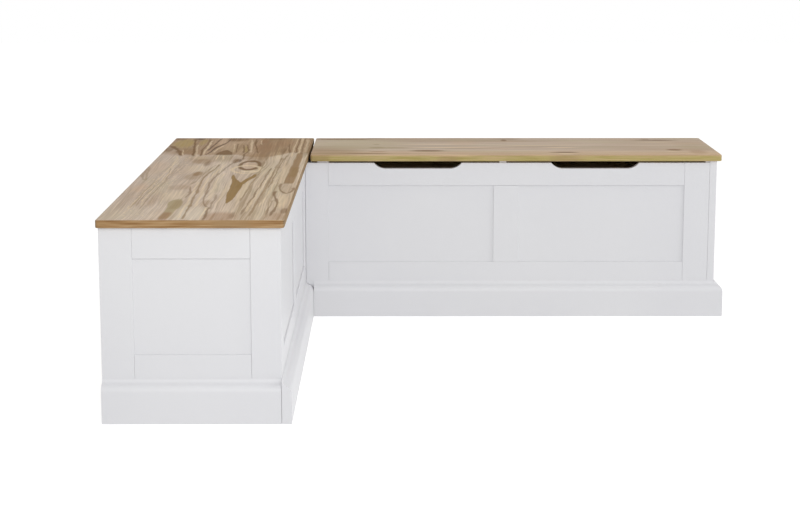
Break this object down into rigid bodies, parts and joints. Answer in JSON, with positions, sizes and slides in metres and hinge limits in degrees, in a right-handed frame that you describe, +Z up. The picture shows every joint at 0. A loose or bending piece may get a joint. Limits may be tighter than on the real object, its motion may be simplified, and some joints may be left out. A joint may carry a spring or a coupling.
{
  "type": "corner storage bench",
  "caption": "L-shaped corner seat made of framed and panelled storage chests with hinged wooden lids, hand grips in the top rails and a moulded plinth.",
  "frame": {"origin": "on the floor, under the middle of the whole bench seen from above", "axes": "+X along the right chest away from the corner of the room, +Y towards the wall behind the right chest, +Z up"},
  "size_m": [1.5548, 1.5618, 0.45],
  "materials": {
    "painted_timber": "off-white paint, satin",
    "waxed_pine": "grey-brown wax over open grain",
    "bare_pine": "planed, bare",
    "plywood": "sanded, bare",
    "zinc_plated_steel": "zinc plated"
  },
  "bodies": {
    "carcass": {"left_end_wall_stile": "painted_timber", "left_end_room_stile": "painted_timber", "left_end_top_rail": "painted_timber", "left_end_bottom_rail": "painted_timber", "left_end_panel": "painted_timber", "left_end_plinth": "painted_timber", "left_front_end_stile": "painted_timber", "left_front_wall_stile": "painted_timber", "left_front_top_rail": "painted_timber", "left_front_bottom_rail": "painted_timber", "left_front_muntin": "painted_timber", "left_front_corner_muntin": "painted_timber", "left_front_panel_1": "painted_timber", "left_front_panel_2": "painted_timber", "left_front_panel_3": "painted_timber", "left_front_plinth": "painted_timber", "left_end_board": "painted_timber", "left_partition_1": "painted_timber", "left_partition_2": "painted_timber", "left_floor": "plywood", "left_back": "plywood", "left_hinge_rail": "bare_pine", "left_end_bearer": "painted_timber", "left_wall_bearer": "painted_timber", "left_hinge_1_rail_leaf": "zinc_plated_steel", "left_hinge_2_rail_leaf": "zinc_plated_steel", "left_hinge_3_rail_leaf": "zinc_plated_steel", "joining_bolt_1": "zinc_plated_steel", "joining_bolt_2": "zinc_plated_steel", "right_end_wall_stile": "painted_timber", "right_end_room_stile": "painted_timber", "right_end_top_rail": "painted_timber", "right_end_bottom_rail": "painted_timber", "right_end_panel": "painted_timber", "right_end_plinth": "painted_timber", "right_front_corner_stile": "painted_timber", "right_front_end_stile": "painted_timber", "right_front_top_rail": "painted_timber", "right_front_bottom_rail": "painted_timber", "right_front_muntin": "painted_timber", "right_front_panel_1": "painted_timber", "right_front_panel_2": "painted_timber", "right_front_plinth": "painted_timber", "right_corner_board": "painted_timber", "right_partition": "painted_timber", "right_floor": "plywood", "right_back": "plywood", "right_hinge_rail": "bare_pine", "right_corner_bearer": "painted_timber", "right_end_bearer": "painted_timber", "right_hinge_1_rail_leaf": "zinc_plated_steel", "right_hinge_2_rail_leaf": "zinc_plated_steel"},
    "left_lid": {"left_lid": "waxed_pine", "left_hinge_1_lid_leaf": "zinc_plated_steel", "left_hinge_2_lid_leaf": "zinc_plated_steel", "left_hinge_3_lid_leaf": "zinc_plated_steel"},
    "right_lid": {"right_lid": "waxed_pine", "right_hinge_1_lid_leaf": "zinc_plated_steel", "right_hinge_2_lid_leaf": "zinc_plated_steel"}
  },
  "joints": [
    {"name": "left_lid_hinge", "type": "hinge", "parent": "carcass", "child": "left_lid", "pos_m": [-0.77495, 0, 0.42945], "axis": [0, -1, 0], "range_deg": [0, 90]},
    {"name": "right_lid_hinge", "type": "hinge", "parent": "carcass", "child": "right_lid", "pos_m": [0.2, 0.77845, 0.42945], "axis": [-1, 0, 0], "range_deg": [0, 90]}
  ]
}
